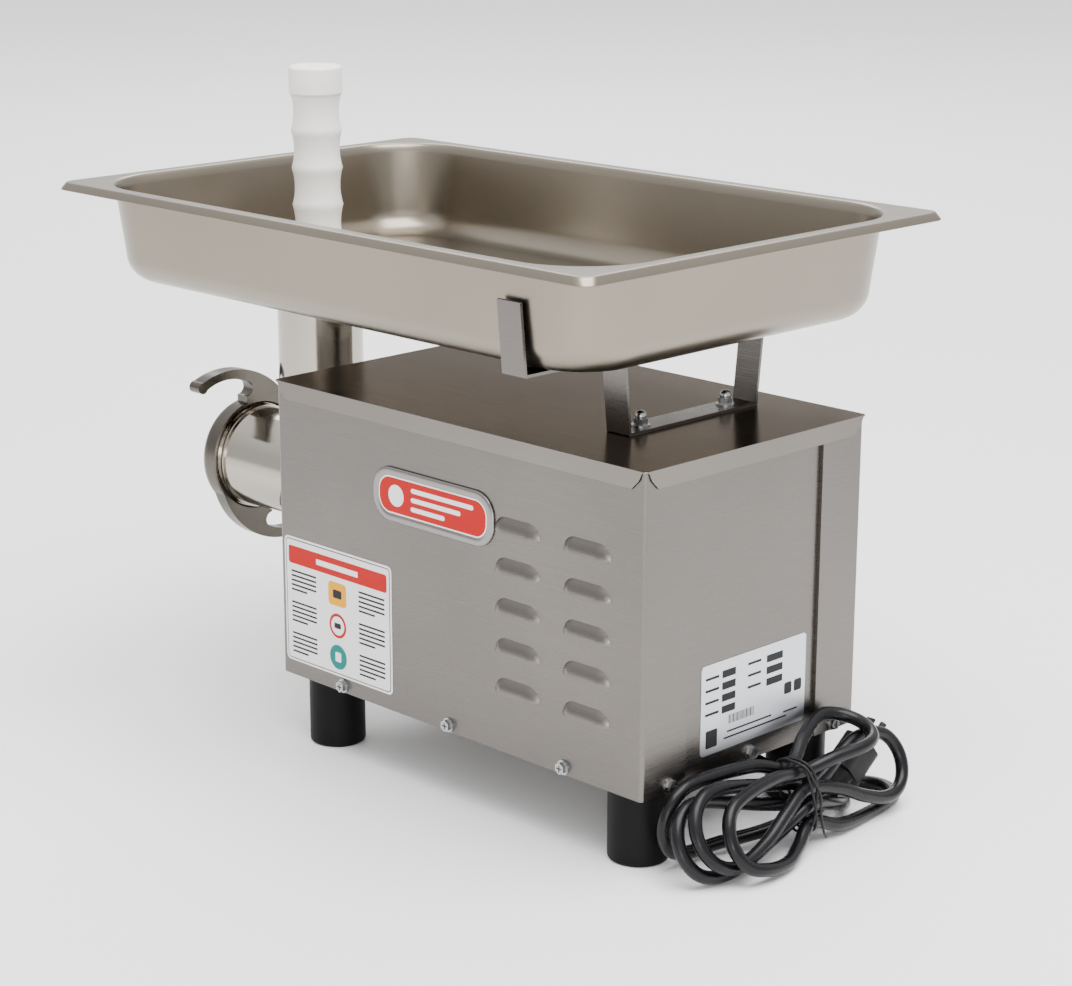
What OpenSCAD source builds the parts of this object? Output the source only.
// Bench-top electric meat grinder: a size 12 head on a geared motor in a sheet-metal housing,
// with a feed tray on a strip bracket, a pusher, rubber feet and a mains cord.
// Frame: +Z up, floor at z = 0, the head points along -Y, and x = 0 is the head's axis.

/* [Housing] */
// Width of the housing
body_w = 210; // [205:1:230]
// Depth of the housing from front to rear
body_d = 350; // [345:1:400]
// Height of the housing without its feet
body_h = 214; // [210:1:240]
// Distance from the head's axis to the middle of the housing
axis_shift = 13; // [8:1:14]
// Height of the rubber feet
foot_h = 52; // [48:1:70]
// Diameter of the rubber feet
foot_dia = 40; // [30:1:45]
// Thickness of the stainless sheet
sheet = 1.2; // [1:0.1:1.5]

/* [Head] */
// Height of the head's axis above the housing's bottom edge
axis_rise = 107; // [107:1:112]
// Distance from the housing's front to the middle of the feed tube
tube_reach = 92; // [90:1:100]
// Outer diameter of the feed tube
tube_dia = 64; // [60:1:66]
// Distance from the housing's front to the front of the ring nut
front_reach = 189; // [186:1:200]
// Diameter of the cutting plate
plate_dia = 70; // [69:0.5:70]
// Thickness of the cutting plate
plate_t = 9.5; // [8:0.5:10]

/* [Tray] */
// Width of the feed tray over its rim
tray_w = 345; // [325:1:360]
// Length of the feed tray over its rim
tray_d = 530; // [480:1:560]
// Height of the tray from its underside to the top of its rim
tray_h = 70; // [60:1:80]
// Distance from the housing's front back to the middle of the tray
tray_back = 86; // [80:1:100]

/* [Pusher] */
// Height of the pusher's top above the tray's rim
pusher_rise = 76; // [60:1:100]
// Diameter of the pusher's stomper
stomper_dia = 51; // [46:0.5:51]

/* [Cord] */
// Diameter of the mains cord
cord_dia = 9; // [7:0.5:10]

/* [Hidden] */
$fn = 96;

fit = 0.05;             // radial clearance of shafts in their bearings
gap = 0.3;              // clearance between loose neighbours
steel = "silver";
brushed = "lightgray";
cast = "darkgray";
black = "#202020";

// The housing's faces
screw_proud = 4.2;      // how far a screw head stands off a panel
body_front = front_reach - (front_reach + body_d + screw_proud) / 2;
body_rear = body_front + body_d;
body_left = axis_shift - body_w / 2;
body_right = axis_shift + body_w / 2;
body_top = foot_h + body_h;
corner_r = 3;
flange_w = 41;          // width of the side panels' flanges on the front and rear
lip_h = 12;             // height of the top cover's folded edge
lip_gap = 0.1;
hem_w = 12;             // width of the hems folded back along the rear flanges' edges
front_recess = sheet + lip_gap;         // from the flanges' face to the front panel's face
rear_recess = 2 * sheet + lip_gap;      // the same at the rear, behind the hems
panel_gap = 0.2;        // between an end panel and the base plate's upstand
upstand = 14;           // height of the base plate's folded edge
floor_z = foot_h + sheet;
screw_z = foot_h + 5;
side_screw_y = [66, 174, 282];
rear_screw_x = [-69, 11.5, 92];
front_screw_x = [-69, 92];
foot_inset = 27;
foot_y = [body_front + foot_inset, body_rear - foot_inset];
foot_x = [body_left + foot_inset, body_right - foot_inset];

// The louvers: two columns of five scoops on one side panel
louver_l = 41;
louver_h = 10;
louver_out = 4.5;
louver_pitch = 27.3;
louver_rows = 5;
louver_z = foot_h + 42;
louver_y = [body_front + 239.5, body_front + 301.5];
louver_r = (louver_h * louver_h + louver_out * louver_out) / (2 * louver_out);

// The head and its drive, measured forward from the housing's front along the axis
axis_z = foot_h + axis_rise;
ring_l = 20;
ring_r = 44.5;
ring_rear = front_reach - ring_l;
ring_lip = 4;
plate_r = plate_dia / 2;
plate_front = front_reach - ring_lip;
plate_rear = plate_front - plate_t;
barrel_front = plate_front - 2;
barrel_r = 39;
thread_r = 40.9;
neck_r = 30;
neck_rear = 4;
shoulder = 58.3;        // where the head meets its socket
thrust_face = 61;
auger_bore = 32.3;
flight_r = 31.6;
journal_r = 17.5;
tube_r = tube_dia / 2;
tube_bore = 28;
tang_r = 11.5;          // across the corners of the auger's hexagonal tang
knife_sq = 13;
knife_t = 9.3;

// The gear train: spindle, layshaft and motor
spindle_teeth = 48;
lay_pinion_teeth = 16;
lay_gear_teeth = 51;
motor_teeth = 15;
slow_module = 2;
fast_module = 1.5;
pressure_angle = 20;
backlash = 0.12;        // taken off each flank
lay_angle = 6;
motor_angle = -125.5;
lay_dist = slow_module * (spindle_teeth + lay_pinion_teeth) / 2;
motor_dist = fast_module * (lay_gear_teeth + motor_teeth) / 2;
lay_at = lay_dist * [cos(lay_angle), sin(lay_angle)];
motor_at = lay_at + motor_dist * [cos(motor_angle), sin(motor_angle)];
slow_plane = -47;       // rear face of the slow gears
slow_w = 16;
fast_plane = -62;       // rear face of the fast gears
fast_w = 10;
case_front = -12;
flange_front = -2.6;    // front of the head socket's flange, behind the front panel
socket_bolts_r = 51;
case_rear = -66;
cover_t = 16;
cover_rear = case_rear - cover_t;
case_w = 169;
case_h = 116;
case_mid = [26.5, 0];
case_wall = 6;
case_bolt = 8;          // inset of the case's bolts from its faces
motor_r = 64;
motor_l = 148;
motor_rear = cover_rear - motor_l;
end_cap_l = 20;
core_l = 90;
core_rear = cover_rear - 28 - core_l;
rotor_r = 36;

// The bearings: bore radius, outer radius, width
bearing_6206 = [15, 31, 16];
bearing_6204 = [10, 23.5, 14];
bearing_6203 = [8.5, 20, 12];
bearing_6202 = [7.5, 17.5, 11];

// The tray, its bracket and the pusher
shelf_z = body_top + 54.5;      // top of the bracket's shelf
strip_w = 20;
strip_t = 2;
bracket_y = body_front + 274;
bracket_nut_x = 41;
tray_z = shelf_z + gap;
tray_y = body_front + tray_back;
rim_z = tray_z + tray_h;
rim_w = 12.5;
lip_flare = 3.6;
lip_drop = 5.5;
wall_inset = 14.5;      // from the rim's outer edge to the wall at the rim
wall_taper = 7.5;
wall_r = 56;            // plan radius of the wall's corners
pan_r = 20;             // radius between wall and floor
tube_y = body_front - tube_reach;
collar_r = 27.6;
collar_l = 22;
pusher_top = rim_z + pusher_rise;

// The bracket strip's middle line in the XZ plane, for one half, from the base to the arm's tip
strip_path = [[0, body_top + 1], [61, body_top + 1], [66.5, shelf_z - 1], [154, shelf_z - 1],
    [158.5, rim_z - 25]];

// The tray's section as rings: [inset from the rim's edge, height, plan radius of the corners]
function wall_at(z) = wall_inset + (tray_h - z) * tan(wall_taper);
function wall_ring(z, thin) = [wall_at(z) + thin, z, wall_r - thin - (tray_h - z) * tan(wall_taper)];
function pan_ring(a, r, thin, base) =
    let (top = base + r, w = wall_ring(top, thin), in = r * (1 - cos(a)))
    [w[0] + in, top - r * sin(a), w[2] - in];
outer_pan = [for (a = [90:-18:0]) pan_ring(a, pan_r, 0, 0)];
inner_pan = [for (a = [0:18:90]) pan_ring(a, pan_r - sheet, sheet, sheet)];
rim_under = [[wall_at(tray_h - 3), tray_h - 3, wall_r],
    [wall_at(tray_h) - 2.2, tray_h - sheet, wall_r + 2],
    [lip_flare + sheet, tray_h - sheet, 9]];
lip = [[sheet, tray_h - lip_drop, 10],
    [0, tray_h - lip_drop, 11],
    [lip_flare - 0.6, tray_h - 0.4, 10],
    [lip_flare + 0.4, tray_h, 10]];
rim_over = [[rim_w + 1, tray_h, wall_r + 2],
    [wall_at(tray_h) - 0.6, tray_h - 0.9, wall_r + 0.6],
    [wall_at(tray_h - 3) + sheet, tray_h - 3, wall_r - sheet]];
tray_rings = concat(outer_pan, rim_under, lip, rim_over, inner_pan);
corner_steps = 12;

// The head's clamp, behind the housing's front
clamp_station = 30;

// The switch on the plain side
switch_y = body_front + 60;
switch_z = foot_h + 150;
switch_h = 66;
switch_w = 36;
button_step = 14;
button_travel = 4;

// The cord: hand-chosen points from the gland to the hank, in millimetres
lead_route = [[-22, 240, 36], [-22, 248, 35], [-21, 256, 33], [-19, 264, 31], [-17, 270, 29],
    [-16, 275, 28]];
gland_y = 206;
gland_at = lead_route[0];
hank_front = 275;
hank_left_front = 289;
hank_rear = 330;
hank_right = [85, 31, 31];      // x, height and radius of each round end
hank_waist = [-33, 24, 22];
hank_left = [-80, 38, 36];
plug_at = [-58, 278, 15];
plug_tilt = 52;         // from upright, towards -X

module on_axis() {
    translate([0, body_front, axis_z]) rotate([90, 0, 0]) children();
}

// A tube or a disc along the axis, from one station to another
module ring(inner, outer, from, to) {
    translate([0, 0, from]) difference() {
        cylinder(r = outer, h = to - from);
        if (inner > 0) translate([0, 0, -1]) cylinder(r = inner, h = to - from + 2);
    }
}

module rounded_rect(w, h, r) {
    for (x = [r - w / 2, w / 2 - r], y = [r - h / 2, h / 2 - r]) translate([x, y]) circle(r);
    square([w - 2 * r, h], center = true);
    square([w, h - 2 * r], center = true);
}

// A hole or a rod along X, Y or Z through a point
module along_x(at, r, l) {
    translate(at) rotate([0, 90, 0]) cylinder(r = r, h = l, center = true);
}

module along_y(at, r, l) {
    translate(at) rotate([90, 0, 0]) cylinder(r = r, h = l, center = true);
}

// ---- Housing ----

module body_outline(inset) {
    translate([axis_shift, (body_front + body_rear) / 2])
        rounded_rect(body_w - 2 * inset, body_d - 2 * inset, corner_r - inset);
}

module side_screw_holes(x, r) {
    for (y = side_screw_y) along_x([x, body_front + y, screw_z], r, 8);
}

module end_screw_holes(y, xs, r) {
    for (x = xs) along_y([x, y, screw_z], r, 8);
}

module base_plate() {
    w = body_w - 2 * (sheet + lip_gap);
    front = body_front + front_recess + sheet + panel_gap;
    rear = body_rear - rear_recess - sheet - panel_gap;
    tab_w = 34;
    tab_h = 30;
    color(brushed) {
        difference() {
            translate([axis_shift - w / 2, front, foot_h]) cube([w, rear - front, upstand]);
            translate([axis_shift - w / 2 + sheet, front + sheet, foot_h + sheet])
                cube([w - 2 * sheet, rear - front - 2 * sheet, upstand]);
            for (x = foot_x, y = foot_y) translate([x, y, foot_h - 1]) cylinder(r = 4.3, h = 4);
            for (x = [body_left, body_right]) side_screw_holes(x, 2.2);
            end_screw_holes(front, front_screw_x, 2.2);
            end_screw_holes(rear, rear_screw_x, 2.2);
            for (i = [0:6]) translate([axis_shift - 40, body_front + 215 + 11 * i, foot_h - 1])
                cube([80, 5, 4]);
        }
        difference() {
            translate([gland_at[0] - tab_w / 2, gland_y - sheet, foot_h - tab_h])
                cube([tab_w, sheet, tab_h]);
            along_y([gland_at[0], gland_y, gland_at[2]], 8.2, 8);
        }
    }
}

// A panel that closes one end, behind the side panels' flanges
module end_panel(face, xs) {
    difference() {
        translate([body_left + corner_r, face, foot_h])
            cube([body_w - 2 * corner_r, sheet, body_h - sheet - 0.2]);
        end_screw_holes(face, xs, 2.2);
        children();
    }
}

module front_panel() {
    color(brushed) end_panel(body_front + front_recess, front_screw_x) {
        on_axis() translate([0, 0, -10]) cylinder(r = 42.5, h = 20);
        on_axis() for (a = [45:90:315]) rotate([0, 0, a]) translate([socket_bolts_r, 0, -10])
            cylinder(r = 5.6, h = 20);
    }
}

module rear_panel() {
    color(brushed) end_panel(body_rear - rear_recess - sheet, rear_screw_x);
}

// A side panel with a flange folded round each end, and a hem along the rear flange's edge
module side_panel(side) {
    clear_w = 2 * body_w - 2 * flange_w;
    hem_x = axis_shift + side * (body_w / 2 - flange_w + hem_w / 2);
    translate([0, 0, foot_h]) linear_extrude(body_h - sheet - 0.2) {
        difference() {
            body_outline(0);
            body_outline(sheet);
            translate([axis_shift - side * body_w / 2, (body_front + body_rear) / 2])
                square([clear_w, 2 * body_d], center = true);
        }
        translate([hem_x - hem_w / 2, body_rear - 2 * sheet]) square([hem_w, 1.01 * sheet]);
    }
}

module flange_holes(face) {
    side_screw_holes(face, 2.2);
    end_screw_holes(body_front, front_screw_x, 2.2);
    end_screw_holes(body_rear, rear_screw_x, 2.2);
}

// A scoop's section: the height above its open edge against how far it stands out
module louver_profile(thin, sink, below) {
    intersection() {
        translate([0, louver_out - louver_r]) circle(louver_r - thin);
        translate([-below, -sink]) square([louver_r, louver_r]);
    }
}

// A scoop with a straight lower edge and quarter-round ends, standing out along +Z
module louver_form(thin, sink, below, over) {
    straight = louver_l - 2 * louver_h;
    translate([-straight / 2, 0, 0]) rotate([90, 0, 90]) linear_extrude(straight)
        louver_profile(thin, sink, below);
    translate([straight / 2, 0, 0]) rotate([0, 0, -over]) rotate_extrude(angle = 90 + over)
        louver_profile(thin, sink, 0);
    translate([-straight / 2, 0, 0]) rotate([0, 0, 90]) rotate_extrude(angle = 90 + over)
        louver_profile(thin, sink, 0);
}

module at_louvers() {
    for (y = louver_y, row = [0:louver_rows - 1])
        translate([body_right, y, louver_z + row * louver_pitch]) rotate([90, 0, 90]) children();
}

module louvered_side_panel() {
    color(brushed) difference() {
        union() {
            side_panel(1);
            at_louvers() louver_form(0, sheet / 2, 0, 0);
        }
        at_louvers() louver_form(sheet, sheet + 1, 1, 5);
        flange_holes(body_right);
    }
}

module plain_side_panel() {
    color(brushed) difference() {
        side_panel(-1);
        flange_holes(body_left);
        switch_opening();
    }
}

// One folded edge of the cover, cut back at both ends
module cover_lip(l) {
    rotate([90, 0, 0]) linear_extrude(sheet, center = true)
        polygon([[-l / 2, 0], [l / 2, 0], [l / 2 - 3, -lip_h / 2], [l / 2 - 9, -lip_h],
            [9 - l / 2, -lip_h], [3 - l / 2, -lip_h / 2]]);
}

module top_cover() {
    out = sheet + lip_gap;
    w = body_w + 2 * out;
    d = body_d + 2 * out;
    color(brushed) {
        translate([axis_shift, (body_front + body_rear) / 2, body_top - sheet])
            linear_extrude(sheet) rounded_rect(w, d, corner_r);
        translate([axis_shift, (body_front + body_rear) / 2, body_top - sheet / 2]) {
            for (side = [-1, 1]) {
                translate([0, side * (d - sheet) / 2, 0]) cover_lip(w - 2 * corner_r);
                translate([side * (w - sheet) / 2, 0, 0]) rotate([0, 0, 90])
                    cover_lip(d - 2 * corner_r);
            }
        }
        for (x = [-bracket_nut_x, bracket_nut_x]) translate([x, bracket_y, body_top - sheet])
            cylinder(r = 2.5, h = 9);
    }
}

// A hexagonal washer-head screw with a cross recess, its shank along -Z from the panel's face
module panel_screw() {
    difference() {
        union() {
            cylinder(r = 5, h = 1);
            cylinder(r = 4.1, h = screw_proud, $fn = 6);
            translate([0, 0, -7]) cylinder(r = 2, h = 8);
        }
        for (a = [0, 90]) rotate([0, 0, a]) translate([0, 0, screw_proud])
            cube([4.6, 1, 3], center = true);
    }
}

module panel_screws() {
    color(steel) {
        for (y = side_screw_y) {
            translate([body_right, body_front + y, screw_z]) rotate([0, 90, 0]) panel_screw();
            translate([body_left, body_front + y, screw_z]) rotate([0, -90, 0]) panel_screw();
        }
        for (x = rear_screw_x) translate([x, rear_face(x), screw_z]) rotate([-90, 0, 0]) panel_screw();
        for (x = front_screw_x) translate([x, body_front, screw_z]) rotate([90, 0, 0]) panel_screw();
    }
}

// The rear screws between the flanges sit on the rear panel itself
function rear_face(x) = x > body_left + flange_w && x < body_right - flange_w
    ? body_rear - rear_recess : body_rear;

module foot(x, y) {
    color(black) translate([x, y, 0]) difference() {
        union() {
            translate([0, 0, 1.5]) cylinder(r = foot_dia / 2, h = foot_h - 1.5);
            cylinder(r1 = foot_dia / 2 - 1.5, r2 = foot_dia / 2, h = 1.5);
        }
        translate([0, 0, -1]) cylinder(r = 9, h = 23);
        cylinder(r = 4.3, h = foot_h + 1);
    }
}

module foot_front_left() { foot(foot_x[0], foot_y[0]); }
module foot_front_right() { foot(foot_x[1], foot_y[0]); }
module foot_rear_left() { foot(foot_x[0], foot_y[1]); }
module foot_rear_right() { foot(foot_x[1], foot_y[1]); }

module foot_bolts() {
    color(steel) for (x = foot_x, y = foot_y) translate([x, y, 0]) {
        translate([0, 0, 17]) cylinder(r = 7.5, h = 5, $fn = 6);
        translate([0, 0, 20]) cylinder(r = 4, h = foot_h - 8);
        translate([0, 0, floor_z]) cylinder(r = 7.5, h = 6.5, $fn = 6);
    }
}

// A thin plate lying on the louvered side or on the rear panel
module side_plate(y, z, w, h, r, t) {
    translate([body_right, body_front + y, foot_h + z]) rotate([90, 0, 90])
        linear_extrude(t) rounded_rect(w, h, r);
}

module name_badge() {
    color("gray") side_plate(160.5, 155, 117, 38, 17, 2);
}

module side_label() {
    color("white") side_plate(61.5, 57, 113, 92, 4, 0.4);
}

module rating_label() {
    color("gainsboro") translate([9.5, rear_face(0), foot_h + 44.5]) rotate([90, 0, 180])
        linear_extrude(0.4) rounded_rect(103, 61, 3);
}

// ---- Tray and pusher ----

module strip_half() {
    for (i = [0:len(strip_path) - 2]) {
        from = strip_path[i];
        to = strip_path[i + 1];
        l = norm(to - from);
        translate(from) rotate(atan2(to[1] - from[1], to[0] - from[0]))
            translate([0, -strip_t / 2]) square([l, strip_t]);
        translate(to) circle(i < len(strip_path) - 2 ? strip_t / 2 : 0.01);
    }
}

module tray_bracket() {
    color(steel) difference() {
        translate([0, bracket_y + strip_w / 2, 0]) rotate([90, 0, 0]) linear_extrude(strip_w) {
            strip_half();
            mirror([1, 0]) strip_half();
        }
        for (x = [-bracket_nut_x, bracket_nut_x]) translate([x, bracket_y, body_top - 1])
            cylinder(r = 2.6, h = 5);
    }
}

module bracket_nuts() {
    color(steel) for (x = [-bracket_nut_x, bracket_nut_x])
        translate([x, bracket_y, body_top + strip_t]) difference() {
            union() {
                cylinder(r = 6.2, h = 1);
                translate([0, 0, 1]) cylinder(r = 4.7, h = 4, $fn = 6);
                translate([0, 0, 5]) cylinder(r = 3.8, h = 1.5);
                translate([0, 0, 6.5]) sphere(r = 3.8);
            }
            translate([0, 0, -1]) cylinder(r = 2.55, h = 7);
        }
}

function corner_points(w, h, r) = [for (q = [0:3], i = [0:corner_steps])
    let (a = 90 * q + 90 * i / corner_steps, sx = q == 0 || q == 3 ? 1 : -1, sy = q < 2 ? 1 : -1)
    [sx * (w / 2 - r) + r * cos(a), sy * (h / 2 - r) + r * sin(a)]];

// A closed skin through rings of points, capped at the first and last ring
module loft(rings) {
    n = len(rings[0]);
    m = len(rings);
    sides = [for (i = [0:m - 2], j = [0:n - 1], half = [0, 1])
        let (a = i * n + j, b = i * n + (j + 1) % n, c = a + n, d = b + n)
        half == 0 ? [a, d, b] : [a, c, d]];
    caps = [[for (j = [0:n - 1]) j], [for (j = [n - 1:-1:0]) (m - 1) * n + j]];
    polyhedron([for (r = rings) each r], concat(sides, caps), convexity = 6);
}

module tray() {
    rings = [for (r = tray_rings)
        [for (p = corner_points(tray_w - 2 * r[0], tray_d - 2 * r[0], r[2])) [p[0], p[1], r[1]]]];
    color("tan") difference() {
        translate([0, tray_y, tray_z]) loft(rings);
        translate([0, tube_y, tray_z - 1]) cylinder(r = collar_r - sheet, h = sheet + 2);
    }
}

// The collar under the tray's hole, which locates the tray in the feed tube
module tray_collar() {
    color("tan") translate([0, tube_y, tray_z - collar_l]) difference() {
        cylinder(r = collar_r, h = collar_l);
        translate([0, 0, -1]) cylinder(r = collar_r - sheet, h = collar_l + 2);
    }
}

// The pusher, turned from one bar: a ridged grip above a guard flange and a stomper
module pusher() {
    grip_r = 18.8;
    waist = 2;
    pitch = 27.3;
    ridges = 4;
    cap_h = 20;
    flange_z = tray_z + sheet + gap;
    grip_top = pusher_top - cap_h;
    bow = (pitch * pitch / 4 + waist * waist) / (2 * waist);
    color("ivory") translate([0, tube_y, 0]) {
        difference() {
            translate([0, 0, flange_z + 6]) cylinder(r = grip_r, h = grip_top - flange_z - 6);
            for (i = [0:ridges - 1]) translate([0, 0, grip_top - (i + 0.5) * pitch])
                rotate_extrude() translate([grip_r - waist + bow, 0]) circle(bow, $fn = 200);
        }
        translate([0, 0, grip_top - 1.5]) cylinder(r1 = grip_r - 1, r2 = grip_r + 0.8, h = 1.5);
        translate([0, 0, grip_top]) cylinder(r = grip_r + 0.8, h = cap_h - 1.5);
        translate([0, 0, pusher_top - 1.5]) cylinder(r1 = grip_r + 0.8, r2 = grip_r - 0.7, h = 1.5);
        translate([0, 0, flange_z]) cylinder(r = 36, h = 5);
        translate([0, 0, flange_z + 5]) cylinder(r1 = 36, r2 = 30, h = 3);
        translate([0, 0, flange_z + 8]) cylinder(r1 = 30, r2 = grip_r - waist, h = 14);
        translate([0, 0, flange_z - 108]) cylinder(r = stomper_dia / 2, h = 109);
        translate([0, 0, flange_z - 112]) cylinder(r1 = stomper_dia / 2 - 4, r2 = stomper_dia / 2, h = 4);
    }
}

// ---- Head ----

module grinder_head() {
    tube_top = tray_z - axis_z - gap;
    color(steel) on_axis() difference() {
        union() {
            ring(0, neck_r - fit, neck_rear, shoulder);
            ring(0, 36, shoulder, shoulder + 4);
            translate([0, 0, shoulder + 4]) cylinder(r1 = 36, r2 = barrel_r, h = 102);
            ring(0, barrel_r, shoulder + 106, barrel_front - 12);
            ring(0, barrel_r + 1.4, ring_rear - 5, ring_rear - 2);
            ring(0, thread_r, ring_rear + 1.5, barrel_front);
            translate([0, 0, tube_reach]) rotate([-90, 0, 0]) cylinder(r = tube_r, h = tube_top);
        }
        ring(0, journal_r, 0, thrust_face + 1);
        ring(0, auger_bore, thrust_face, plate_rear);
        ring(0, plate_r - 0.8, plate_rear - knife_t - 1, plate_rear);
        ring(0, plate_r + 0.15, plate_rear, plate_front);
        translate([0, 0, tube_reach]) rotate([-90, 0, 0]) cylinder(r = tube_bore, h = tube_top + 1);
        translate([-3.2, neck_r - 3.5, neck_rear - 1]) cube([6.4, 8, 11]);
        translate([0, 0, plate_rear + 4]) rotate([90, 0, 0]) cylinder(r = 2, h = barrel_r - 1);
    }
}

module plate_pin() {
    color(steel) on_axis() translate([0, 0, plate_rear + 4]) rotate([90, 0, 0])
        translate([0, 0, plate_r - 2]) cylinder(r = 2, h = barrel_r - 1 - plate_r + 2);
}

module auger() {
    flight_from = thrust_face + 6;
    flight_l = plate_rear - knife_t - 3.5 - flight_from;
    core_r = 12;
    square_from = plate_rear - knife_t - 1;
    color(cast) on_axis() {
        translate([0, 0, -13]) cylinder(r = tang_r, h = 22, $fn = 6);
        ring(0, journal_r - fit, 8, flight_from);
        ring(0, 28, thrust_face + 2.2, flight_from + 1);
        ring(0, core_r, flight_from, square_from);
        ring(0, 18, square_from - 3, square_from - 0.2);
        translate([0, 0, flight_from]) linear_extrude(flight_l, twist = 760, slices = 76, $fn = 12)
            polygon([for (p = [[core_r - 4, -66], [core_r + 3, -42], [flight_r, -24], [flight_r, -8],
                [flight_r, 8], [flight_r, 24], [core_r + 3, 42], [core_r - 4, 66]])
                p[0] * [cos(p[1]), sin(p[1])]]);
        translate([-knife_sq / 2, -knife_sq / 2, square_from - 1]) cube([knife_sq, knife_sq, knife_t]);
        ring(0, 5.5, square_from, plate_front + 1);
    }
}

module thrust_washer() {
    color("white") on_axis() ring(journal_r + 0.3, auger_bore - 0.3, thrust_face, thrust_face + 2);
}

module knife() {
    color(cast) on_axis() translate([0, 0, plate_rear - knife_t - 0.1]) difference() {
        union() {
            cylinder(r = 13, h = knife_t);
            for (a = [0:90:270]) rotate([0, 0, a]) linear_extrude(knife_t)
                polygon([[-6.5, 8], [7, 8], [5.5, 22], [6, 33], [0, 33.4], [-3.5, 33], [-4.5, 22]]);
        }
        translate([-knife_sq / 2 - 0.1, -knife_sq / 2 - 0.1, -1])
            cube([knife_sq + 0.2, knife_sq + 0.2, knife_t + 2]);
    }
}

// Three rings of holes round a bush that carries the auger's front pin
module cutting_plate() {
    hole_r = 4;
    color(cast) on_axis() translate([0, 0, plate_rear]) difference() {
        cylinder(r = plate_r, h = plate_t);
        translate([0, 0, -1]) cylinder(r = 5.5 + fit, h = plate_t + 2);
        for (row = [[14, 7], [22.6, 13]], i = [0:row[1] - 1])
            rotate([0, 0, 360 * i / row[1] + 90]) translate([row[0], 0, -1])
                cylinder(r = hole_r, h = plate_t + 2);
        translate([-2.3, -plate_r - 1, -1]) cube([4.6, 4, plate_t + 2]);
    }
}

// One hooked lug, seen from the front with the hook at the top
module lug(t) {
    difference() {
        translate([26, 6.5, 0]) cylinder(r = 65, h = t);
        translate([-50, -80, -1]) cube([150, 100, t + 2]);
        translate([53, 0, -1]) cube([50, 100, t + 2]);
        difference() {
            translate([29, 22, -1]) cylinder(r = 42.6, h = t + 2);
            translate([-50, -80, -2]) cube([61, 200, t + 4]);
        }
        translate([11, 54.4, -1]) cylinder(r = 6, h = t + 2);
    }
    translate([53, 61.4, 0]) cylinder(r = 4.4, h = t);
}

module ring_nut() {
    lug_t = 12;
    round_r = 9;
    color(steel) on_axis() translate([0, 0, ring_rear]) difference() {
        union() {
            rotate_extrude() polygon(concat(
                [[0, 0], [ring_r - 1, 0], [ring_r, 1]],
                [for (a = [0:15:90]) [ring_r - round_r * (1 - cos(a)), ring_l - round_r * (1 - sin(a))]],
                [[0, ring_l]]));
            for (a = [0, 180]) rotate([0, 0, a]) lug(lug_t);
        }
        translate([0, 0, -1]) cylinder(r = thread_r + 0.08, h = ring_l - ring_lip + 1);
        translate([0, 0, -1]) cylinder(r1 = thread_r + 2.6, r2 = thread_r - 0.4, h = 3);
        translate([0, 0, ring_l - ring_lip - 1]) cylinder(r = plate_r - 5.5, h = ring_lip + 2);
    }
}

// ---- Socket and clamp ----

module head_socket() {
    color(cast) on_axis() difference() {
        union() {
            ring(0, 60, case_front, flange_front);
            ring(0, 42, -2, shoulder - 0.3);
            translate([36, 0, clamp_station]) rotate([0, 90, 0]) cylinder(r = 12, h = 14);
            translate([0, 36, neck_rear + 5]) rotate([-90, 0, 0]) cylinder(r = 6, h = 8);
        }
        ring(0, neck_r, 2, shoulder + 1);
        ring(0, 18, case_front - 1, 3);
        ring(0, 26, case_front - 1, case_front + 8);
        translate([0, 0, clamp_station]) rotate([0, 90, 0]) cylinder(r = 5.1, h = 60);
        translate([0, neck_r - 4, neck_rear + 5]) rotate([-90, 0, 0]) cylinder(r = 3, h = 20);
        for (a = [45:90:315]) rotate([0, 0, a]) translate([socket_bolts_r, 0, case_front - 1])
            cylinder(r = 3.3, h = 20);
    }
}

module socket_bolts() {
    color(steel) on_axis() for (a = [45:90:315]) rotate([0, 0, a]) translate([socket_bolts_r, 0, 0]) {
        translate([0, 0, case_front - 5]) cylinder(r = 2.9, h = 15);
        translate([0, 0, flange_front]) cylinder(r = 5, h = 5);
    }
}

module head_pin() {
    color(steel) on_axis() translate([0, 0, neck_rear + 5]) rotate([-90, 0, 0])
        translate([0, 0, neck_r - 3]) cylinder(r = 3, h = 16);
}

module clamp_pad() {
    color("gold") on_axis() translate([neck_r + 0.2, 0, clamp_station]) rotate([0, 90, 0])
        cylinder(r = 5, h = 5);
}

module clamp_screw() {
    color(steel) on_axis() translate([neck_r + 5.3, 0, clamp_station]) rotate([0, 90, 0])
        cylinder(r = 5, h = 36);
}

module clamp_knob() {
    scallops = 5;
    color(black) on_axis() translate([62, 0, clamp_station]) rotate([0, 90, 0]) difference() {
        union() {
            cylinder(r = 11, h = 5);
            translate([0, 0, 4]) cylinder(r1 = 19, r2 = 21, h = 2);
            translate([0, 0, 6]) cylinder(r = 21, h = 9);
            translate([0, 0, 15]) cylinder(r1 = 21, r2 = 18, h = 2);
        }
        for (i = [0:scallops - 1]) rotate([0, 0, 54 + 360 * i / scallops]) translate([25, 0, -1])
            cylinder(r = 9, h = 20);
        translate([0, 0, -1]) cylinder(r = 5, h = 10.3);
    }
}

// ---- Drive ----

function involute(a) = tan(a) * 180 / PI - a;

// Half the angle that a tooth takes up at a radius
function tooth_half(teeth, modulus, r) =
    let (pitch_r = modulus * teeth / 2, base_r = pitch_r * cos(pressure_angle), at = max(r, base_r))
    90 / teeth - backlash / pitch_r * 180 / PI + involute(pressure_angle) - involute(acos(base_r / at));

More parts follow.
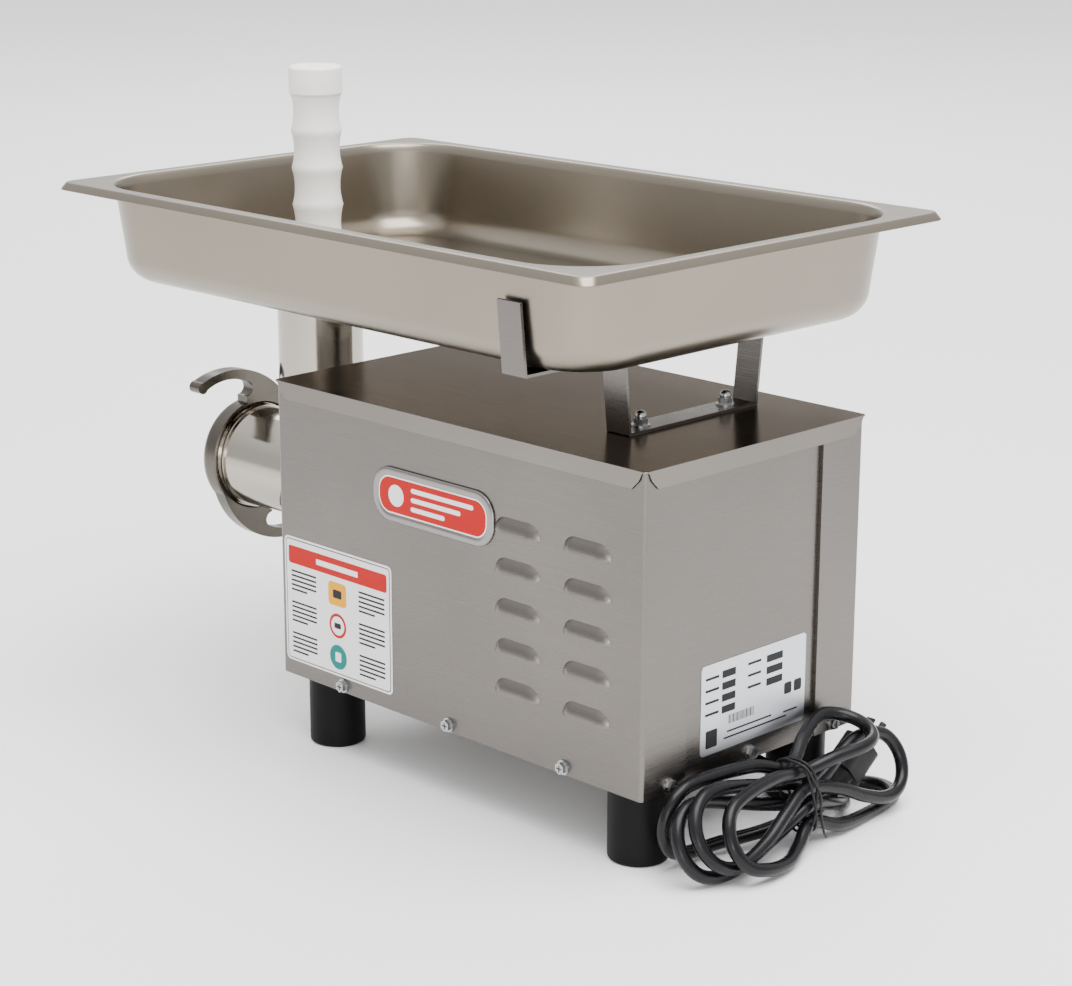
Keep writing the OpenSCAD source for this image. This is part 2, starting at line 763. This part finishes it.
module gear(teeth, modulus, width, phase) {
    pitch_r = modulus * teeth / 2;
    radii = [pitch_r - 1.2 * modulus, pitch_r * cos(pressure_angle) + 0.01, pitch_r,
        pitch_r + 0.9 * modulus];
    low = radii[0] < radii[1] ? 0 : 1;
    flank = [for (i = [low:3]) [max(radii[i], radii[0]), tooth_half(teeth, modulus, radii[i])]];
    outline = [for (tooth = [0:teeth - 1])
        let (mid = phase + 360 * tooth / teeth)
        each concat([for (f = flank) [f[0], mid - f[1]]],
            [for (i = [len(flank) - 1:-1:0]) [flank[i][0], mid + flank[i][1]]])];
    linear_extrude(width) polygon([for (p = outline) p[0] * [cos(p[1]), sin(p[1])]]);
}

module at_shaft(centre) {
    on_axis() translate([centre[0], centre[1], 0]) children();
}

// A sealed ball bearing whose front face is at a station on the axis
module bearing(size, front) {
    race = (size[1] - size[0]) * 0.24;
    ball_r = (size[1] - size[0]) / 2 - race - 0.1;
    mid_r = (size[0] + size[1]) / 2;
    balls = floor(2.9 * mid_r / ball_r / 1.25);
    rear = front - size[2];
    ring(size[0] + fit, size[0] + race, rear, front);
    ring(size[1] - race, size[1], rear, front);
    for (i = [0:balls - 1]) rotate([0, 0, 360 * i / balls])
        translate([mid_r, 0, front - size[2] / 2]) sphere(r = ball_r);
    for (z = [rear + 0.6, front - 1.2]) ring(size[0] + race + 0.3, size[1] - race + 0.1, z, z + 0.6);
}

module case_outline(inset) {
    translate(case_mid) rounded_rect(case_w - 2 * inset, case_h - 2 * inset, 10 - inset);
}

function case_bolts() = [for (sx = [-1, 1], sy = [-1, 1])
    case_mid + [sx * (case_w / 2 - case_bolt), sy * (case_h / 2 - case_bolt)]];

module gearbox_case() {
    floor_y = floor_z - axis_z;
    leg_x = [-38, 46];
    color(cast) difference() {
        on_axis() {
            difference() {
                translate([0, 0, case_rear]) linear_extrude(case_front - case_rear) case_outline(0);
                translate([0, 0, case_rear - 1]) linear_extrude(case_front - case_rear + 1 - case_wall)
                    case_outline(case_wall);
            }
            for (at = case_bolts()) translate([at[0], at[1], case_rear])
                cylinder(r = 7.5, h = case_front - case_rear);
            ring(31, 37, case_front - 17, case_front - 1);
            translate([lay_at[0], lay_at[1], 0]) ring(17.5, 22, case_front - 13, case_front - 1);
            for (x = leg_x) {
                translate([x, floor_y, case_rear + 10]) cube([22, -case_h / 2 - floor_y + 1, 34]);
                translate([x - 10, floor_y, case_rear + 10]) cube([42, 7, 34]);
            }
        }
        on_axis() {
            ring(0, 31, case_front - 17, case_front - 1);
            ring(0, 26.5, case_front - 10, case_front + 1);
            translate([lay_at[0], lay_at[1], 0]) ring(0, 17.5, case_front - 14, case_front - 2);
            for (at = case_bolts()) translate([at[0], at[1], case_rear - 1]) cylinder(r = 2.9, h = 30);
            for (a = [45:90:315]) rotate([0, 0, a]) translate([socket_bolts_r, 0, case_front - 7])
                cylinder(r = 3, h = 10);
        }
    }
}

module gearbox_cover() {
    color(cast) on_axis() difference() {
        translate([0, 0, cover_rear]) linear_extrude(cover_t) {
            case_outline(0);
            translate(motor_at) circle(motor_r);
        }
        ring(0, bearing_6204[1], case_rear - bearing_6204[2], case_rear + 1);
        translate([lay_at[0], lay_at[1], 0])
            ring(0, bearing_6202[1], case_rear - bearing_6202[2], case_rear + 1);
        translate([motor_at[0], motor_at[1], 0]) {
            ring(0, bearing_6203[1], cover_rear - 1, cover_rear + bearing_6203[2]);
            ring(0, 14, cover_rear, case_rear + 1);
        }
        for (at = case_bolts()) {
            translate([at[0], at[1], cover_rear - 1]) cylinder(r = 3.2, h = cover_t + 2);
        }
    }
}

module gearbox_bolts() {
    color(steel) on_axis() for (at = case_bolts()) translate([at[0], at[1], cover_rear]) {
        cylinder(r = 2.85, h = cover_t + 20);
        translate([0, 0, -5]) cylinder(r = 4.5, h = 5);
    }
}

module output_shaft() {
    shaft_rear = case_rear - bearing_6204[2];
    color(steel) on_axis() difference() {
        union() {
            ring(0, bearing_6204[0], shaft_rear, fast_plane + fast_w + 2);
            ring(0, 17, fast_plane + fast_w, slow_plane);
            ring(0, 16, slow_plane, slow_plane + slow_w);
            ring(0, bearing_6206[0], slow_plane + slow_w - 1, case_front - 1);
            ring(0, 16.5, case_front - 1, 1.5);
        }
        translate([0, 0, -13.4]) cylinder(r = tang_r + 0.1, h = 20, $fn = 6);
        translate([-2.5, 13, slow_plane]) cube([5, 4, slow_w]);
    }
}

module output_gear() {
    color(cast) on_axis() difference() {
        translate([0, 0, slow_plane])
            gear(spindle_teeth, slow_module, slow_w, lay_angle + 180 / spindle_teeth);
        translate([0, 0, slow_plane - 1]) cylinder(r = 16, h = slow_w + 2);
        translate([0, 0, slow_plane + slow_w - 4]) ring(24, 42, 0, 5);
    }
    color(steel) on_axis() translate([-2.45, 13.05, slow_plane]) cube([4.9, 3.4, slow_w]);
}

module output_front_bearing() {
    color(steel) on_axis() bearing(bearing_6206, case_front - 1);
}

module output_rear_bearing() {
    color(steel) on_axis() bearing(bearing_6204, case_rear);
}

module output_seal() {
    color(black) on_axis() ring(16.5 + fit, 26, case_front, case_front + 7.8);
}

module layshaft() {
    color(steel) at_shaft(lay_at) {
        ring(0, bearing_6202[0], case_front - 13, case_front - 2);
        ring(0, 10, slow_plane + slow_w + 1, case_front - 13);
        translate([0, 0, slow_plane - 1]) gear(lay_pinion_teeth, slow_module, slow_w + 2, lay_angle + 180);
        ring(0, 11, fast_plane + fast_w, slow_plane - 1);
        ring(0, 9, fast_plane, fast_plane + fast_w);
        ring(0, bearing_6202[0], case_rear - bearing_6202[2], fast_plane);
    }
}

module layshaft_gear() {
    color(cast) at_shaft(lay_at) difference() {
        translate([0, 0, fast_plane])
            gear(lay_gear_teeth, fast_module, fast_w, motor_angle + 180 / lay_gear_teeth);
        translate([0, 0, fast_plane - 1]) cylinder(r = 9, h = fast_w + 2);
        for (a = [0:60:300]) rotate([0, 0, a]) translate([24, 0, fast_plane - 1])
            cylinder(r = 6, h = fast_w + 2);
    }
}

module layshaft_bearings() {
    color(steel) at_shaft(lay_at) {
        bearing(bearing_6202, case_front - 2);
        bearing(bearing_6202, case_rear);
    }
}

module motor_shaft() {
    color(steel) at_shaft(motor_at) {
        translate([0, 0, fast_plane - 1]) gear(motor_teeth, fast_module, fast_w + 2, motor_angle + 180);
        ring(0, bearing_6203[0], cover_rear - 2, fast_plane - 1);
        ring(0, 11, motor_rear + 2, cover_rear - 2);
        ring(0, bearing_6202[0], motor_rear - 50, motor_rear + 2);
    }
}

module rotor_core() {
    color(cast) at_shaft(motor_at) difference() {
        union() {
            ring(11, rotor_r, core_rear, core_rear + core_l);
            ring(24, rotor_r - 1, core_rear - 8, core_rear + core_l + 8);
        }
        for (a = [0:20:340]) rotate([0, 0, a]) translate([rotor_r - 4, -0.8, core_rear - 1])
            cube([5, 1.6, core_l + 2]);
    }
}

module motor_bearings() {
    color(steel) at_shaft(motor_at) {
        bearing(bearing_6203, cover_rear + bearing_6203[2]);
        bearing(bearing_6202, motor_rear - 2);
    }
}

module stator_core() {
    slots = 24;
    color(cast) at_shaft(motor_at) difference() {
        ring(rotor_r + 0.5, motor_r - 4, core_rear, core_rear + core_l);
        for (i = [0:slots - 1]) rotate([0, 0, 360 * i / slots])
            translate([rotor_r - 1, -1.6, core_rear - 1]) cube([15, 3.2, core_l + 2]);
    }
}

module stator_windings() {
    color("chocolate") at_shaft(motor_at) for (from = [core_rear - 18, core_rear + core_l])
        ring(rotor_r + 4, motor_r - 9, from, from + 18);
}

module motor_housing() {
    color("dimgray") at_shaft(motor_at) difference() {
        ring(motor_r - 4, motor_r, motor_rear, cover_rear);
        for (a = [20:40:340]) rotate([0, 0, a]) translate([motor_r - 8, -4, motor_rear + 8])
            cube([12, 8, 10]);
    }
}

module motor_end_cap() {
    foot_low = floor_z - axis_z - motor_at[1];
    color(cast) at_shaft(motor_at) difference() {
        union() {
            ring(0, motor_r, motor_rear - end_cap_l, motor_rear);
            translate([-30, foot_low, motor_rear - end_cap_l]) cube([60, 30, end_cap_l - 2]);
        }
        ring(22, motor_r - 6, motor_rear - end_cap_l + 6, motor_rear + 1);
        ring(0, bearing_6202[1], motor_rear - 2 - bearing_6202[2], motor_rear + 1);
        ring(0, 10, motor_rear - end_cap_l - 1, motor_rear);
        for (a = [0:45:315]) rotate([0, 0, a]) translate([42, 0, motor_rear - end_cap_l - 1])
            cylinder(r = 9, h = 8);
    }
}

module motor_fan() {
    fan_front = motor_rear - end_cap_l - 4;
    color(black) at_shaft(motor_at) {
        ring(bearing_6202[0], 12, fan_front - 18, fan_front);
        ring(11, 52, fan_front - 3, fan_front);
        for (a = [0:45:315]) rotate([0, 0, a]) translate([11, -1, fan_front - 18]) cube([40, 2, 16]);
    }
}

module run_capacitor() {
    at = [body_left + 30, body_front + 200, floor_z + 18];
    color("whitesmoke") translate(at) rotate([-90, 0, 0]) {
        cylinder(r = 17.5, h = 78);
        translate([0, 0, 78]) cylinder(r = 16, h = 2);
        for (x = [-6, 6]) translate([x - 3, -0.5, 79]) cube([6, 1, 9]);
    }
}

// ---- Switch ----

module switch_opening() {
    translate([body_left, switch_y, switch_z]) cube([8, switch_w + 0.4, switch_h + 0.4], center = true);
}

module at_button(up) {
    translate([body_left, switch_y, switch_z + up * button_step]) rotate([0, -90, 0]) children();
}

module switch_body() {
    depth = 30;
    color(black) difference() {
        union() {
            translate([body_left, switch_y, switch_z]) rotate([0, -90, 0])
                linear_extrude(2.5) rounded_rect(switch_h + 8, switch_w + 8, 5);
            translate([body_left + depth / 2, switch_y, switch_z])
                cube([depth, switch_w, switch_h], center = true);
        }
        for (up = [-1, 1]) at_button(up) {
            translate([0, 0, -14]) cylinder(r = 10.4, h = 20);
            translate([0, 0, -20]) cylinder(r = 4.4, h = 8);
        }
    }
}

module button(up, rise) {
    at_button(up) {
        translate([0, 0, -9.5]) cylinder(r = 10.1, h = 9.5 + rise);
        translate([0, 0, -15]) cylinder(r = 4, h = 6);
    }
}

module start_button() { color("green") button(1, 7); }
module stop_button() { color("red") button(-1, 8); }

// ---- Cord ----

// A round tube swept along points that run mostly along Y
module swept_tube(points, r, sides) {
    last = len(points) - 1;
    rings = [for (i = [0:last])
        let (way = points[min(i + 1, last)] - points[max(i - 1, 0)],
            ahead = i == 0 || i == last ? [0, 1, 0] : way / norm(way),
            up = cross([1, 0, 0], ahead) / norm(cross([1, 0, 0], ahead)),
            across = cross(ahead, up))
        [for (a = [0:360 / sides:359]) points[i] + r * (cos(a) * across + sin(a) * up)]];
    loft([for (i = [last:-1:0]) rings[i]]);
}

module cord_gland() {
    at = [gland_at[0], gland_y, gland_at[2]];
    boot_l = gland_at[1] - gland_y;
    color(black) translate(at) rotate([-90, 0, 0]) {
        translate([0, 0, -sheet - 6]) cylinder(r = 11, h = 6, $fn = 6);
        translate([0, 0, -sheet - 1]) cylinder(r = 8, h = sheet + 2);
        cylinder(r = 11, h = 4);
        translate([0, 0, 4]) cylinder(r1 = 8, r2 = cord_dia / 2 + 1.2, h = boot_l - 4);
    }
}

module cord_lead() {
    color(black) swept_tube(lead_route, cord_dia / 2, 10);
}

// A hank's outline between two round ends, from one depth to the rear of the hank
module hank_part(from, ends) {
    translate([0, hank_rear, 0]) rotate([90, 0, 0]) linear_extrude(hank_rear - from) hull() {
        for (end = ends) translate([end[0], end[1]]) circle(end[2], $fn = 32);
    }
}

module cord_hank() {
    color(black) {
        hank_part(hank_front, [hank_right, hank_waist]);
        hank_part(hank_left_front, [hank_waist, hank_left]);
    }
}

module plug() {
    body_l = 40;
    color(black) translate(plug_at) rotate([0, -plug_tilt, 0]) {
        cylinder(r1 = cord_dia / 2 + 0.5, r2 = 9, h = 16);
        translate([0, 0, 14]) linear_extrude(body_l - 14) rounded_rect(26, 20, 6);
    }
    color("gold") translate(plug_at) rotate([0, -plug_tilt, 0]) {
        for (x = [-6.3, 6.3]) translate([x - 0.8, -3.2, body_l - 1]) cube([1.6, 6.4, 18]);
        translate([0, 6, body_l - 1]) cylinder(r = 2.4, h = 20);
    }
}

base_plate();
front_panel();
rear_panel();
louvered_side_panel();
plain_side_panel();
top_cover();
panel_screws();
foot_front_right();
foot_front_left();
foot_rear_right();
foot_rear_left();
foot_bolts();
name_badge();
side_label();
rating_label();
tray_bracket();
bracket_nuts();
tray();
tray_collar();
pusher();
grinder_head();
plate_pin();
auger();
thrust_washer();
knife();
cutting_plate();
ring_nut();
head_socket();
socket_bolts();
head_pin();
clamp_pad();
clamp_screw();
clamp_knob();
gearbox_case();
gearbox_cover();
gearbox_bolts();
output_shaft();
output_gear();
output_front_bearing();
output_rear_bearing();
output_seal();
layshaft();
layshaft_gear();
layshaft_bearings();
motor_shaft();
rotor_core();
motor_bearings();
stator_core();
stator_windings();
motor_housing();
motor_end_cap();
motor_fan();
run_capacitor();
switch_body();
start_button();
stop_button();
cord_gland();
cord_lead();
cord_hank();
plug();
